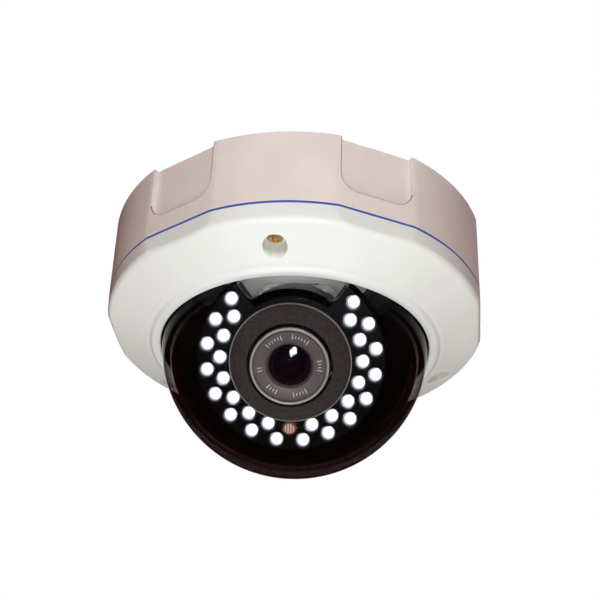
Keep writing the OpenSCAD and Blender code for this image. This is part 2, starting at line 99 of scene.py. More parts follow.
ray = sky.nodes.new("ShaderNodeLightPath").outputs
straight = sky.nodes.new("ShaderNodeMath")
straight.operation = "SUBTRACT"
straight.use_clamp = True
sky.links.new(ray["Is Camera Ray"], straight.inputs[0])
sky.links.new(ray["Transparent Depth"], straight.inputs[1])
lit_or_mirrored = either(sky, ray["Is Glossy Ray"], glow(0.14, 0.018, 0.016), glow(0.034, 0.006, 0.005))
behind_smoke = either(sky, ray["Is Camera Ray"], lit_or_mirrored, glow(0.004, 0.002, 0.0015))
surround = either(sky, straight.outputs[0], behind_smoke, glow(1, 1, 1))
sky.links.new(surround, sky.nodes.new("ShaderNodeOutputWorld").inputs["Surface"])
bpy.context.scene.view_settings.view_transform = "Standard"

bpy.ops.mesh.primitive_plane_add(size=8, location=(0, 0, -0.9))
floor = bpy.context.object
floor.name = "floor"
floor.visible_glossy = False
pale = bpy.data.materials.new("pale floor")
pale.use_nodes = True
ground = pale.node_tree
ground.nodes["Principled BSDF"].inputs["Base Color"].default_value = (0.86, 0.86, 0.85, 1)
ground.nodes["Principled BSDF"].inputs["Roughness"].default_value = 0.9
plain = ground.nodes.new("ShaderNodeEmission")
plain.inputs["Color"].default_value = (0.83, 0.83, 0.82, 1)
shown = either(ground, ground.nodes.new("ShaderNodeLightPath").outputs["Is Camera Ray"],
               ground.nodes["Principled BSDF"].outputs[0], plain.outputs[0])
ground.links.new(shown, ground.nodes["Material Output"].inputs["Surface"])
floor.data.materials.append(pale)


# ---- Base casting ---------------------------------------------------------
# A cup die-cast in aluminium, round with six flats, a shallow pad sunk in each
# flat, ribbed on the back, with posts and a bearing inside. It is sprayed with
# a fine off-white powder coat.

body_radius = 72.5
flat_distance = 71
seam_depth = 31
cavity_radius = 66
pad_half_width, pad_foot, pad_corner = 14, -23.4, 7


def drum(radius, top, bottom, sides=96, at=(0, 0)):
    """A round solid between two depths below the ceiling, in mm."""
    bpy.ops.object.select_all(action="DESELECT")
    bpy.ops.mesh.primitive_cylinder_add(
        vertices=sides, radius=radius * mm, depth=(bottom - top) * mm,
        location=(at[0] * mm, at[1] * mm, -(top + bottom) / 2 * mm))
    bpy.ops.object.transform_apply(location=True, rotation=True, scale=True)
    return bpy.context.object


def block(low, high):
    """A box between two corners, in mm, +Z up."""
    bpy.ops.object.select_all(action="DESELECT")
    bpy.ops.mesh.primitive_cube_add(size=1, location=[(a + b) / 2 * mm for a, b in zip(low, high)])
    bpy.context.object.scale = [(b - a) * mm for a, b in zip(low, high)]
    bpy.ops.object.transform_apply(location=True, rotation=True, scale=True)
    return bpy.context.object


def only(piece):
    """Selects one piece and makes it the active one."""
    bpy.ops.object.select_all(action="DESELECT")
    piece.select_set(True)
    bpy.context.view_layer.objects.active = piece
    return piece


def boolean(piece, tool, operation):
    only(piece)
    step = piece.modifiers.new("step", "BOOLEAN")
    step.operation = operation
    step.object = tool
    step.solver = "EXACT"
    bpy.ops.object.modifier_apply(modifier=step.name)
    bpy.data.objects.remove(tool)
    return piece


def cut(piece, tool):
    return boolean(piece, tool, "DIFFERENCE")


def weld(piece, tool):
    return boolean(piece, tool, "UNION")


def pick(piece, kind, wanted):
    """In edit mode, selects only the vertices, edges or faces that a test wants."""
    bpy.ops.mesh.select_mode(type={"verts": "VERT", "edges": "EDGE", "faces": "FACE"}[kind])
    bpy.ops.mesh.select_all(action="DESELECT")
    mesh = bmesh.from_edit_mesh(piece.data)
    for item in getattr(mesh, kind):
        if wanted(item):
            item.select_set(True)
    mesh.select_flush_mode()
    bmesh.update_edit_mesh(piece.data)


def joined(pieces):
    """Several solids as one object."""
    bpy.ops.object.select_all(action="DESELECT")
    for piece in pieces:
        piece.select_set(True)
    bpy.context.view_layer.objects.active = pieces[0]
    if len(pieces) > 1:
        bpy.ops.object.join()
    return pieces[0]


def moved(piece, matrix):
    """Puts a matrix into the mesh."""
    only(piece)
    piece.matrix_world = matrix
    bpy.ops.object.transform_apply(location=True, rotation=True, scale=True)
    return piece


def copies(piece, matrices):
    """The piece repeated at each matrix, each with its own mesh, joined; the first is used up."""
    made = []
    for matrix in matrices:
        only(piece)
        bpy.ops.object.duplicate()
        made.append(moved(bpy.context.object, matrix))
    bpy.data.objects.remove(piece)
    return joined(made)


def turn(angle):
    return Matrix.Rotation(radians(angle), 4, "Z")


def polar(radius, angle):
    return turn(angle) @ Matrix.Translation((radius * mm, 0, 0))


def soften(piece, width, segments=2, angle=30):
    """Rounds every edge sharper than the angle, then smooths the shading."""
    only(piece)
    edge = piece.modifiers.new("edge", "BEVEL")
    edge.width = width * mm
    edge.segments = segments
    edge.limit_method = "ANGLE"
    edge.angle_limit = radians(angle)
    edge.use_clamp_overlap = False
    bpy.ops.object.modifier_apply(modifier=edge.name)
    bpy.ops.object.shade_smooth_by_angle(angle=radians(angle + 8))
    even = piece.modifiers.new("even", "WEIGHTED_NORMAL")
    even.keep_sharp = True
    bpy.ops.object.modifier_apply(modifier=even.name)
    return piece


def round_edges(piece, wanted, width, segments):
    """Rounds only the edges that a test wants."""
    only(piece)
    bpy.ops.object.mode_set(mode="EDIT")
    pick(piece, "edges", wanted)
    bpy.ops.mesh.bevel(offset=width * mm, segments=segments)
    bpy.ops.object.mode_set(mode="OBJECT")


def six_flats(piece, apothem):
    """Slices the six flats with planes."""
    only(piece)
    bpy.ops.object.mode_set(mode="EDIT")
    for i in range(6):
        side = Vector((cos(i * pi / 3), sin(i * pi / 3), 0))
        bpy.ops.mesh.select_all(action="SELECT")
        bpy.ops.mesh.bisect(plane_co=side * apothem * mm, plane_no=side, use_fill=True, clear_outer=True)
    bpy.ops.object.mode_set(mode="OBJECT")
    return piece


class Wire:
    """A shader socket that can be reckoned with like a number."""

    def __init__(self, finish, socket):
        self.finish, self.socket = finish, socket

    def math(self, operation, *values):
        return self.finish.node("ShaderNodeMath", {"operation": operation}, dict(enumerate(values)))

    def __add__(self, other):
        return self.math("ADD", self, other)

    def __radd__(self, other):
        return self.math("ADD", other, self)

    def __sub__(self, other):
        return self.math("SUBTRACT", self, other)

    def __rsub__(self, other):
        return self.math("SUBTRACT", other, self)

    def __mul__(self, other):
        return self.math("MULTIPLY", self, other)

    def __rmul__(self, other):
        return self.math("MULTIPLY", other, self)

    def __pow__(self, other):
        return self.math("POWER", self, other)

    def step(self, low, high):
        """0 below low, 1 above high, a smooth rise between."""
        return self.finish.node("ShaderNodeMapRange", {"interpolation_type": "SMOOTHSTEP"},
                                {"Value": self, "From Min": low, "From Max": high})


class Finish:
    """A material: its shader's fixed sockets, and what varies over the surface."""

    def __init__(self, name, **fixed):
        self.material = bpy.data.materials.new(name)
        self.material.use_nodes = True
        self.tree = self.material.node_tree
        self.shader = self.tree.nodes["Principled BSDF"]
        self.set(**fixed)

    def set(self, **sockets):
        for key, value in sockets.items():
            self.put(self.shader.inputs[key.replace("_", " ").title().replace("Ior", "IOR")], value)
        return self

    def put(self, socket, value):
        if isinstance(value, Wire):
            self.tree.links.new(value.socket, socket)
        elif isinstance(value, tuple) and len(value) == 3 and socket.type == "RGBA":
            socket.default_value = (*value, 1)
        else:
            socket.default_value = value

    def node(self, kind, settings, sockets, result=0):
        node = self.tree.nodes.new(kind)
        for key, value in settings.items():
            setattr(node, key, value)
        for key, value in sockets.items():
            self.put(node.inputs[key], value)
        return Wire(self, node.outputs[result])

    def place(self, which="Object"):
        return self.node("ShaderNodeTexCoord", {}, {}, which)

    def turned_place(self, matrix):
        """Object coordinates seen from a turned and shifted frame."""
        back = matrix.inverted()
        return self.node("ShaderNodeMapping", {}, {
            "Vector": self.place(), "Location": tuple(back.translation), "Rotation": tuple(back.to_euler())})

    def noise(self, scale, detail=2.0, roughness=0.5, where=None):
        return self.node("ShaderNodeTexNoise", {}, {
            "Vector": where or self.place(), "Scale": scale, "Detail": detail, "Roughness": roughness})

    def mix(self, factor, a, b):
        return self.node("ShaderNodeMix", {"data_type": "RGBA"}, {0: factor, 6: a, 7: b}, 2)

    def bump(self, height, strength, distance):
        self.set(normal=self.node("ShaderNodeBump", {}, {
            "Strength": strength, "Distance": distance * mm, "Height": height}))


def coat(piece, finish):
    piece.data.materials.clear()
    piece.data.materials.append(finish.material)
    return piece


def fitted(piece, name, body, slot_name, *nodes):
    """Names a finished piece, hangs it on its body and hides the CAD nodes that it stands in for."""
    piece.name = name
    piece.data.name = name
    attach(piece, body)
    if nodes:
        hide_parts(*nodes)
    return piece


base = six_flats(drum(body_radius, 0, seam_depth, 216), flat_distance)
cut(base, drum(cavity_radius, 3.5, 40, 144))
pad = block((flat_distance - 1.9, -pad_half_width, pad_foot), (flat_distance + 5, pad_half_width, 6))


def at_foot(edge):
    """Whether an edge is one of the two lower corners that run in from the flat."""
    start, end = (vertex.co for vertex in edge.verts)
    return max(start.z, end.z) < -20 * mm and abs(start.x - end.x) > mm


round_edges(pad, at_foot, pad_corner, 12)
cut(base, copies(pad, [turn(60 * i) for i in range(6)]))

posts = [(62.5, a) for a in (-90, 30, 150)]
holes = [(54, 45 + 90 * i) for i in range(4)]
studs = [(23, a) for a in (-90, -20, 200)]
side_entry = Matrix.Translation((0, 0, -15.5 * mm)) @ Matrix.Rotation(radians(-90), 4, "X")
pocket = cut(drum(62, -1, 1.2), drum(25, -2, 3))
for i in range(3):
    cut(pocket, moved(block((-70, -1.5, -3), (70, 1.5, 3)), turn(60 * i)))
for hole in holes:
    cut(pocket, moved(drum(7.5, -3, 3, 48), polar(*hole)))
for post in posts:
    cut(pocket, moved(drum(8, -3, 3, 48), polar(*post)))
cut(base, pocket)

for part in (
    *(moved(drum(5.6, 3, seam_depth, 48), polar(*post)) for post in posts),
    *(moved(drum(6.5, 1, 6, 48), polar(*hole)) for hole in holes),
    *(moved(drum(2.6, 3, 6.5, 24), polar(*stud)) for stud in studs),
):
    weld(base, part)
weld(base, cut(drum(32.9, 3, 10.8, 128), drum(29, 2, 12, 128)))
weld(base, cut(drum(37, 3, 7.2, 128), drum(32, 2, 12, 128)))
weld(base, block((-12, 61.5, -28), (12, 68, -3)))
for tool in (
    *(moved(drum(1.7, 15, 32, 24), polar(*post)) for post in posts),
    *(moved(drum(2.5, -2, 8, 32), polar(*hole)) for hole in holes),
    *(moved(drum(4.6, 5, 8, 32), polar(*hole)) for hole in holes),
    *(moved(drum(1.1, 2, 8, 16), polar(*stud)) for stud in studs),
    drum(7, -2, 6, 48, (0, 14)),
    moved(drum(8.5, -80, -55, 48), side_entry),
    moved(drum(11.6, -76, -flat_distance, 64), side_entry),
):
    cut(base, tool)
soften(base, 0.28)

base_paint = Finish("off-white powder coat", roughness=0.42, coat_weight=0.15, coat_roughness=0.2)
cloud = base_paint.noise(45, 3)
base_paint.set(
    base_color=base_paint.mix(cloud.step(0.35, 0.65), (0.725, 0.70, 0.655), (0.765, 0.74, 0.695)),
    roughness=0.36 + 0.12 * base_paint.noise(900, 2))
base_paint.bump(base_paint.noise(1400, 3, 0.6) + 0.5 * base_paint.noise(320, 1), 0.12, 0.08)
# The inside of the base and the cover is painted near black: painted shade for the dark housing.
interior_shade_black = Finish("near-black interior shade", roughness=0.7, specular_ior_level=0.25)
interior_shade_black.set(
    base_color=interior_shade_black.mix(interior_shade_black.noise(90, 3), (0.006, 0.006, 0.006), (0.014, 0.013, 0.012)))
interior_shade_black.bump(interior_shade_black.noise(1200, 3), 0.2, 0.05)


def by_post(face, reach):
    """Whether a face lies round one of the three screw posts."""
    middle = face.calc_center_median()
    offsets = [(middle - polar(*post).translation).xy.length for post in posts]
    return middle.z < -3.3 * mm and min(offsets) < reach * mm


def in_base(face):
    """Whether a face lies inside the base, short of the seam's flange."""
    middle = face.calc_center_median()
    return by_post(face, 6) or (
        middle.xy.length < (cavity_radius + 0.2) * mm and -30.4 * mm < middle.z < -1.3 * mm)


def on_pad_shadow_line(face):
    """Whether a face is the broken edge along a pad's front side or its foot, where a painted shadow line
    goes.
    """
    middle = face.calc_center_median()
    for i in range(6):
        here = turn(-60 * i) @ middle
        outward = (turn(-60 * i) @ face.normal).x
        past_side = max(abs(here.y / mm) - (pad_half_width - pad_corner), 0)
        past_foot = max(pad_foot + pad_corner - here.z / mm, 0)
        at_outline = abs(Vector((past_side, past_foot)).length - pad_corner) < 0.4
        if here.x > 70.5 * mm and 0.2 < outward < 0.97 and at_outline:
            return past_foot > 1 or middle.y < polar(flat_distance, 60 * i).translation.y
    return False


def paint_faces(piece, finish, wanted):
    """The faces that a test wants take a finish of their own, as a further slot."""
    piece.data.materials.append(finish.material)
    only(piece)
    bpy.ops.object.mode_set(mode="EDIT")
    pick(piece, "faces", wanted)
    piece.active_material_index = len(piece.data.materials) - 1
    bpy.ops.object.material_slot_assign()
    bpy.ops.object.mode_set(mode="OBJECT")


fitted(coat(base, base_paint), "base_casting", "housing", "body_paint", "base_housing")
# The pad edges toward the viewer and at the foot are painted dark brown: a painted shadow line along the
# step.
pad_shadow_paint = Finish("painted pad shadow line", roughness=0.6)
pad_shadow_paint.set(base_color=pad_shadow_paint.mix(pad_shadow_paint.noise(400, 3), (0.11, 0.055, 0.045), (0.20, 0.11, 0.09)))
paint_faces(base, interior_shade_black, in_base)
paint_faces(base, pad_shadow_paint, on_pad_shadow_line)


# ---- Side entry plug and cable grommet ------------------------------------
# A screwed plug closes the unused side entry: a turned disc with a coin slot
# and a ring of grip notches. The grommet is a soft ring with six slits.

plug = drum(11.2, -2.4, 0, 96)
bpy.ops.object.mode_set(mode="EDIT")
pick(plug, "faces", lambda f: f.normal.z > 0.9)
bpy.ops.mesh.inset(thickness=1.6 * mm, depth=0)
bpy.ops.mesh.inset(thickness=0.5 * mm, depth=-0.5 * mm)
bpy.ops.object.mode_set(mode="OBJECT")
weld(plug, drum(8.5, -0.5, 11, 64))
cut(plug, drum(6.5, 3, 12, 48))
cut(plug, block((-6.5, -1, 1.0), (6.5, 1, 4)))
cut(plug, copies(drum(0.8, -4, 2, 12), [polar(11.5, 30 * i) for i in range(12)]))
moved(plug, Matrix.Translation((0, flat_distance * mm, 0)) @ side_entry)
fitted(coat(soften(plug, 0.2), base_paint), "side_entry_plug", "housing", "body_paint", "conduit_plug")

rubber = Finish("black moulded rubber", roughness=0.75, specular_ior_level=0.35)
rubber.set(base_color=rubber.mix(rubber.noise(260, 4), (0.012, 0.012, 0.013), (0.03, 0.029, 0.028)),
           roughness=0.66 + 0.2 * rubber.noise(500))
rubber.bump(rubber.noise(1800, 3), 0.2, 0.05)
grommet = drum(7, 0, 3.5, 48, (0, 14))
weld(grommet, drum(8.6, 3.5, 4.7, 64, (0, 14)))
cut(grommet, drum(3.6, -2, 6, 48, (0, 14)))
for i in range(6):
    slit = block((2.6, -0.3, -8), (5.6, 0.3, 2))
    cut(grommet, moved(slit, Matrix.Translation((0, 14 * mm, 0)) @ turn(60 * i)))
fitted(coat(soften(grommet, 0.15), rubber), "cable_grommet_ring", "housing", "black_rubber", "cable_grommet")


# ---- Seam gasket ----------------------------------------------------------
# A thin blue silicone sheet, cut to the outline of the seam and squeezed
# between the base and the cover so that only its edge shows.

squeezed_in = 0.08
gasket = drum(body_radius - squeezed_in, seam_depth, seam_depth + 0.8, 216)
six_flats(gasket, flat_distance - squeezed_in)
cut(gasket, drum(66.8, 30, 33, 144))
blue = Finish("blue silicone", roughness=0.5)
blue.set(base_color=blue.mix(blue.noise(300, 3), (0.025, 0.085, 0.42), (0.04, 0.13, 0.52)))
blue.bump(blue.noise(1500, 2), 0.2, 0.05)
fitted(coat(soften(gasket, 0.05), blue), "seam_gasket_sheet", "housing", "blue_gasket", "seam_gasket")


# ---- Cover ring -----------------------------------------------------------
# Die-cast like the base: an upright band, a sloped face that runs into a
# hollow, and a raised lip round the bubble. Three deep pockets hold the
# screws. It is sprayed gloss off-white.

def turned(profile, steps=144, sweep=360):
    """Turns a closed outline of (radius, height) corners, in mm, round the Z axis.

    A third number rounds its corner."""
    bpy.ops.object.select_all(action="DESELECT")
    bpy.ops.mesh.primitive_plane_add(size=0.001)
    piece = bpy.context.object
    bpy.ops.object.mode_set(mode="EDIT")
    bpy.ops.mesh.select_mode(type="VERT")
    bpy.ops.mesh.select_all(action="SELECT")
    bpy.ops.mesh.merge(type="CENTER")
    bpy.ops.transform.translate(value=(profile[0][0] * mm, 0, profile[0][1] * mm))
    for a, b in zip(profile, profile[1:] + profile[:1]):
        along = ((b[0] - a[0]) * mm, 0, (b[1] - a[1]) * mm)
        bpy.ops.mesh.extrude_region_move(TRANSFORM_OT_translate={"value": along})
    bpy.ops.mesh.select_all(action="SELECT")
    bpy.ops.mesh.remove_doubles(threshold=1e-7)
    for corner in profile:
        if len(corner) == 3:
            here = Vector((corner[0] * mm, 0, corner[1] * mm))
            pick(piece, "verts", lambda v: (v.co - here).length < 1e-6)
            bpy.ops.mesh.bevel(offset=corner[2] * mm, segments=5, affect="VERTICES")
    bpy.ops.mesh.select_all(action="SELECT")
    bpy.ops.mesh.spin(steps=steps, angle=-radians(sweep), center=(0, 0, 0), axis=(0, 0, 1))
    bpy.ops.mesh.select_all(action="SELECT")
    bpy.ops.mesh.remove_doubles(threshold=1e-6)
    if sweep < 360:
        for end in (0, sweep):
            ray_out = Vector((cos(radians(end)), sin(radians(end)), 0))
            pick(piece, "verts", lambda v: abs(ray_out.cross(v.co).z) < 1e-7 and ray_out.dot(v.co) > 0)
            bpy.ops.mesh.edge_face_add()
    bpy.ops.mesh.select_all(action="SELECT")
    bpy.ops.mesh.normals_make_consistent(inside=False)
    bpy.ops.object.mode_set(mode="OBJECT")
    return piece


cover = turned([
    (51.2, -48.2, 0.4), (51.9, -48.5, 0.3), (54.2, -48.5, 0.9), (55.6, -47.0, 0.5), (56.6, -46.7, 0.9),
    (59.8, -44.95, 2.5), (72.3, -38.8), (body_radius, -31.8), (cavity_radius, -31.8), (cavity_radius, -39.2),
    (56.6, -39.2), (56.6, -41.8), (51.2, -41.8)], 216)
six_flats(cover, flat_distance)
round_edges(cover, lambda e: all(v.co.xy.length > 70 * mm and v.co.z < -38 * mm for v in e.verts), 1.7, 5)
for post in posts:
    weld(cover, moved(drum(5.6, 31, 39.5, 48), polar(*post)))
    cut(cover, moved(drum(4.3, 38.7, 52, 48), polar(*post)))
    cut(cover, moved(drum(2.1, 30, 52, 24), polar(*post)))
clamp_screws = [polar(59.6, 60 * i) for i in range(6)]
cut(cover, copies(drum(1, 38, 42.6, 16), clamp_screws))
soften(cover, 0.3, 3, 24)
cover_paint = Finish("gloss off-white paint", roughness=0.3, coat_weight=0.4, coat_roughness=0.08)
cover_paint.set(
    base_color=cover_paint.mix(
        cover_paint.noise(40, 3).step(0.35, 0.65), (0.745, 0.82, 0.785), (0.775, 0.85, 0.815)),
    roughness=0.25 + 0.1 * cover_paint.noise(700))
cover_paint.bump(cover_paint.noise(420, 2), 0.08, 0.06)


def in_cover(face):
    """Whether a face lies inside the cover, away from the screw posts."""
    middle = face.calc_center_median()
    within = middle.xy.length < (cavity_radius + 0.2) * mm and middle.z > -42.2 * mm
    return within and face.normal.z > -0.3 and not by_post(face, 5)


fitted(coat(cover, cover_paint), "cover_casting", "housing", "cover_paint", "cover_ring")
paint_faces(cover, interior_shade_black, in_cover)


# ---- Cover screws ---------------------------------------------------------
# Three captive security screws, yellow-plated: a round head with a socket and
# a pin in it, deep in each pocket.

screw = turned([
    (0, -38.7), (2.9, -38.7, 0.15), (2.9, -40.5, 0.6), (1.75, -40.5, 0.12), (1.5, -39.4), (0.6, -39.4),
    (0.6, -40.2, 0.15), (0, -40.2)], 48)
weld(screw, drum(1.9, 30.8, 38.9, 32))
weld(screw, drum(1.65, 16.5, 31.5, 32))
soften(screw, 0.08, 2, 40)
brass = Finish("yellow plating", metallic=1.0, roughness=0.28)
brass.set(base_color=brass.mix(brass.noise(500, 3), (0.72, 0.47, 0.19), (0.86, 0.64, 0.32)),
          roughness=0.22 + 0.2 * brass.noise(800, 3))
brass.bump(brass.noise(2200, 2), 0.15, 0.03)
screws = copies(screw, [polar(*post) for post in posts])
fitted(coat(screws, brass), "cover_screw_set", "housing", "brass", "cover_screws")


# ---- Bubble ---------------------------------------------------------------
# Injection-moulded smoked polycarbonate: half a sphere, a short neck and a
# flange that is clamped behind the lip.

def arc(radius, centre, start, end, count):
    """Points of an arc, start and end in degrees from the X axis."""
    return [(max(0, radius * cos(radians(start + (end - start) * i / count))),
             centre + radius * sin(radians(start + (end - start) * i / count))) for i in range(count + 1)]


def smooth(piece, angle):
    """Smooths the shading across every edge blunter than the angle."""
    only(piece)
    bpy.ops.object.shade_smooth_by_angle(angle=radians(angle))
    return piece


bubble_radius, bubble_inside, bubble_centre = 50.8, 48, -45.7
bubble = turned(
    arc(bubble_radius, bubble_centre, -90, 0, 48)
    + [(bubble_radius, -41.0, 0.5), (56.4, -41.0, 0.4), (56.4, -39.2, 0.4), (bubble_inside, -39.2, 0.4)]
    + arc(bubble_inside, bubble_centre, 0, -90, 48), 192)
smooth(bubble, 40)
smoke = Finish("smoked polycarbonate", base_color=(0.002, 0.0015, 0.0015), roughness=0.03, ior=1.45)
rimward = smoke.node("ShaderNodeLayerWeight", {}, {"Blend": 0.5}, 1)
walls_passed = smoke.node("ShaderNodeLightPath", {}, {}, "Transparent Depth")
looked_at = smoke.node("ShaderNodeLightPath", {}, {}, "Is Camera Ray")
# For camera rays past the near wall, the far wall is made much more opaque near black: a painted shade over
# what lies behind the bubble.
smoke.set(alpha=0.15 + 0.7 * looked_at * walls_passed.step(1.2, 1.8) + 0.85 * rimward ** 2.3)
fitted(coat(bubble, smoke), "smoked_bubble", "housing", "smoked_plastic", "dome_bubble")

bubble_gasket = turned([
    (51.15, -47.9, 0.1), (51.15, -41.0), (56.4, -41.0, 0.1), (56.4, -41.8, 0.1), (51.45, -41.8),
    (51.2, -47.9, 0.02)], 192)
smooth(bubble_gasket, 40)
fitted(coat(bubble_gasket, rubber), "bubble_gasket_ring", "housing", "black_rubber", "dome_gasket")


# ---- Clamp ring and small steel parts -------------------------------------
# A pressed steel ring, plated black, clamps the bubble's flange with six
# screws. They and the other small screws and clips are plated with bright
# zinc, and the posts between the boards are brass.

clamp = turned([(50.6, -37.6), (63.5, -37.6), (63.5, -39.2), (50.6, -39.2)], 192)
cut(clamp, copies(drum(6.2, 36, 41, 48), [polar(*post) for post in posts]))
cut(clamp, copies(drum(1.3, 36, 41, 16), clamp_screws))
steel = Finish("zinc-plated steel", metallic=1.0, roughness=0.35)
steel.set(base_color=steel.mix(steel.noise(300, 4), (0.50, 0.51, 0.52), (0.66, 0.67, 0.68)),
          roughness=0.26 + 0.25 * steel.noise(600, 3))
steel.bump(steel.noise(2500, 2), 0.12, 0.02)
black_zinc = Finish("black zinc plating", metallic=0.5, roughness=0.5)
black_zinc.set(
    base_color=black_zinc.mix(black_zinc.noise(300, 3), (0.010, 0.010, 0.011), (0.022, 0.022, 0.023)),
    roughness=0.42 + 0.2 * black_zinc.noise(500))
fitted(coat(soften(clamp, 0.2), black_zinc), "bubble_clamp_ring", "housing", "steel", "dome_retainer")


def refinish(finish, *nodes):
    """Gives CAD nodes that stay as they are a finish."""
    for node in nodes:
        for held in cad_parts[node].material_slots:
            held.material = finish.material


refinish(steel, "retainer_screws", "main_board_screws", "pan_retainer_screws", "arm_screws", "sensor_screws",
         "rotor_clip", "zoom_lock", "focus_lock")
refinish(brass, "led_posts", "board_posts")


# ---- Boards ---------------------------------------------------------------
# Fibreglass boards with a solder mask over copper tracks: green on the main
# board, white on the sensor and video boards, black on the lamp board. Their
# sockets are natural nylon.

def board_finish(name, mask, track):
    finish = Finish(name, roughness=0.35, coat_weight=0.3)
    where = finish.place()
    runs = finish.node("ShaderNodeTexBrick", {"offset": 0.4}, {
        "Vector": where, "Scale": 160.0, "Color1": mask, "Color2": mask, "Mortar": track,
        "Mortar Size": 0.035, "Mortar Smooth": 0.2, "Brick Width": 0.9, "Row Height": 0.31})
    dots = finish.node("ShaderNodeTexVoronoi", {}, {"Vector": where, "Scale": 330.0})
    finish.set(base_color=finish.mix(1 - dots.step(0.10, 0.14), runs, (0.62, 0.60, 0.52)),
               roughness=0.3 + 0.15 * finish.noise(400))
    return finish


green_board = board_finish("green circuit board", (0.012, 0.10, 0.045), (0.03, 0.19, 0.085))
black_board = board_finish("black circuit board", (0.010, 0.010, 0.011), (0.03, 0.03, 0.032))
# The white boards are given a dark grey, a painted shade for their place deep in the housing.
white_board_darkened = board_finish("white circuit board", (0.22, 0.215, 0.21), (0.27, 0.265, 0.26))
refinish(green_board, "main_board")
refinish(white_board_darkened, "sensor_board", "video_board")
refinish(black_board, "led_board")

nylon = Finish("natural nylon", roughness=0.5)
nylon.set(base_color=nylon.mix(nylon.noise(350, 3), (0.78, 0.75, 0.66), (0.86, 0.84, 0.77)),
          roughness=0.42 + 0.15 * nylon.noise(900))
nylon.bump(nylon.noise(1800, 2), 0.1, 0.03)
refinish(nylon, "cable_sockets", "board_header", "video_socket")

chip = Finish("image chip", roughness=0.12, coat_weight=1.0)
chip.set(base_color=chip.node("ShaderNodeTexChecker", {}, {
    "Vector": chip.place(), "Color1": (0.10, 0.07, 0.20), "Color2": (0.16, 0.13, 0.24), "Scale": 1500.0}))
refinish(chip, "image_sensor")


# ---- Gimbal ---------------------------------------------------------------
# A moulded pan ring turns on the base's bearing under a screwed ring, with a
# plastic lid over the main board. Two pressed arms carry the tilt cradle, and
# two knurled thumb screws are its pins.

grey_plastic = Finish("grey moulded plastic", roughness=0.5)
grey_plastic.set(
    base_color=grey_plastic.mix(grey_plastic.noise(120, 3), (0.50, 0.49, 0.48), (0.56, 0.55, 0.54)),
    roughness=0.45 + 0.15 * grey_plastic.noise(700))
grey_plastic.bump(grey_plastic.noise(1600, 3), 0.25, 0.04)
dark_plastic = Finish("black moulded plastic", roughness=0.55)
dark_plastic.set(
    base_color=dark_plastic.mix(dark_plastic.noise(200, 3), (0.010, 0.010, 0.011), (0.022, 0.022, 0.023)),
    roughness=0.45 + 0.2 * dark_plastic.noise(700))
dark_plastic.bump(dark_plastic.noise(1600, 3), 0.25, 0.04)
arm_paint = Finish("dark stove enamel", roughness=0.45)
arm_paint.set(base_color=arm_paint.mix(arm_paint.noise(150, 3), (0.035, 0.035, 0.038), (0.055, 0.055, 0.058)),
              roughness=0.36 + 0.2 * arm_paint.noise(500))
arm_paint.bump(arm_paint.noise(900, 3), 0.2, 0.05)

tilt_place = Matrix.Translation((0, 0, -43 * mm)) @ turn(3.7) @ Matrix.Rotation(radians(136.7), 4, "X")
head_place = tilt_place @ turn(-1.8)


def rounded_copy(node, width, name, body, slot_name, finish):
    """The solid of a CAD node, welded, its edges broken as the real part's are."""
    only(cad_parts[node])
    bpy.ops.object.duplicate()
    piece = bpy.context.object
    bpy.ops.object.mode_set(mode="EDIT")
    bpy.ops.mesh.select_all(action="SELECT")
    bpy.ops.mesh.remove_doubles(threshold=1e-6)
    bpy.ops.mesh.dissolve_limited(angle_limit=radians(0.5))
    bpy.ops.object.mode_set(mode="OBJECT")
    return fitted(coat(soften(piece, width, 2, 35), finish), name, body, slot_name, node)


for node, name, slot_name, body, finish, width in (
    ("board_cover", "board_lid", "grey_plastic", "housing", grey_plastic, 0.15),
    ("pan_retainer", "pan_retaining_ring", "grey_plastic", "housing", dark_plastic, 0.15),
    ("pan_ring", "pan_turntable", "grey_plastic", "pan_stage", dark_plastic, 0.2),
    ("left_arm", "left_gimbal_arm", "gimbal_steel", "pan_stage", arm_paint, 0.2),
    ("right_arm", "right_gimbal_arm", "gimbal_steel", "pan_stage", arm_paint, 0.2),
    ("cradle", "tilt_cradle", "dark_plastic", "tilt_stage", dark_plastic, 0.15),
    ("rotor", "turning_sleeve", "dark_plastic", "camera_head", dark_plastic, 0.15),
    ("lens_mount", "lens_socket", "dark_plastic", "camera_head", dark_plastic, 0.12),
):
    rounded_copy(node, width, name, body, slot_name, finish)

knob = turned([
    (0, 33.6), (2.8, 33.6), (2.8, 32.6, 0.2), (3.2, 32.6), (4.0, 33.6, 0.3), (5.4, 33.6, 0.5), (5.4, 29, 0.4),
    (2.5, 29), (2.5, 21.6, 0.3), (0, 21.6)], 96)
cut(knob, copies(drum(0.45, -40, -29.8, 12), [polar(5.5, 15 * i) for i in range(24)]))
soften(knob, 0.06, 1, 40)
sideways = Matrix.Rotation(radians(90), 4, "Y")
knobs = copies(knob, [tilt_place @ sideways, tilt_place @ turn(180) @ sideways])
fitted(coat(knobs, steel), "tilt_thumb_screws", "tilt_stage", "steel", "tilt_screws")


# ---- Infrared lamps -------------------------------------------------------
# Thirty 5 mm lamps of clear epoxy stand on the lamp board in two rows, moulded
# in one round body each. The flash thrown back by each domed tip is painted on as a glow and a lighter colour
# on one side.

inner_row, outer_row, pitch = 26.1, 31.2, 18


def spot(radius, angle):
    """A place on the lamp board, its angle counted from the foot of the ring."""
    return Matrix.Translation((radius * sin(radians(angle)) * mm, -radius * cos(radians(angle)) * mm, 0))


